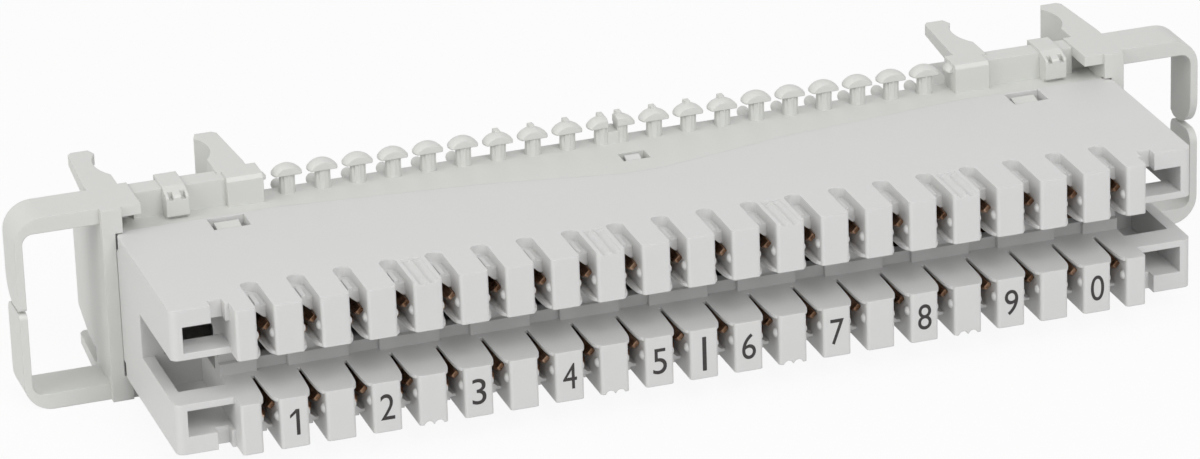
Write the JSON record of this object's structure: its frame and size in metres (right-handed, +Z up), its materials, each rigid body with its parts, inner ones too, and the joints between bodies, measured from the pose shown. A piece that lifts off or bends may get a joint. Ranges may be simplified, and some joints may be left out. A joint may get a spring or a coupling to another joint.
{
  "type": "punch down wiring block",
  "caption": "Grey telecom punch down wiring block with two rows of insulation displacement slots, rear wire posts, open wire loops at both ends and clip arms for a mounting frame.",
  "frame": {"origin": "middle of the underside of the whole block, at the lowest level of the wire loops and clip arms", "axes": "+X along the rows of slots, -Y out of the toothed contact face where wires are pushed in, +Y towards the clip arms, +Z up across the two rows"},
  "size_m": [0.1248, 0.0384, 0.0204],
  "materials": {
    "housing_plastic": "fine satin moulding",
    "base_plastic": "fine satin moulding",
    "contact_metal": "rolled copper alloy strip"
  },
  "bodies": {
    "root": {"front_housing": "housing_plastic", "rear_base": "base_plastic", "contact_upper_01": "contact_metal", "contact_upper_02": "contact_metal", "contact_upper_03": "contact_metal", "contact_upper_04": "contact_metal", "contact_upper_05": "contact_metal", "contact_upper_06": "contact_metal", "contact_upper_07": "contact_metal", "contact_upper_08": "contact_metal", "contact_upper_09": "contact_metal", "contact_upper_10": "contact_metal", "contact_upper_11": "contact_metal", "contact_upper_12": "contact_metal", "contact_upper_13": "contact_metal", "contact_upper_14": "contact_metal", "contact_upper_15": "contact_metal", "contact_upper_16": "contact_metal", "contact_upper_17": "contact_metal", "contact_upper_18": "contact_metal", "contact_upper_19": "contact_metal", "contact_upper_20": "contact_metal", "contact_lower_01": "contact_metal", "contact_lower_02": "contact_metal", "contact_lower_03": "contact_metal", "contact_lower_04": "contact_metal", "contact_lower_05": "contact_metal", "contact_lower_06": "contact_metal", "contact_lower_07": "contact_metal", "contact_lower_08": "contact_metal", "contact_lower_09": "contact_metal", "contact_lower_10": "contact_metal", "contact_lower_11": "contact_metal", "contact_lower_12": "contact_metal", "contact_lower_13": "contact_metal", "contact_lower_14": "contact_metal", "contact_lower_15": "contact_metal", "contact_lower_16": "contact_metal", "contact_lower_17": "contact_metal", "contact_lower_18": "contact_metal", "contact_lower_19": "contact_metal", "contact_lower_20": "contact_metal"}
  },
  "joints": []
}
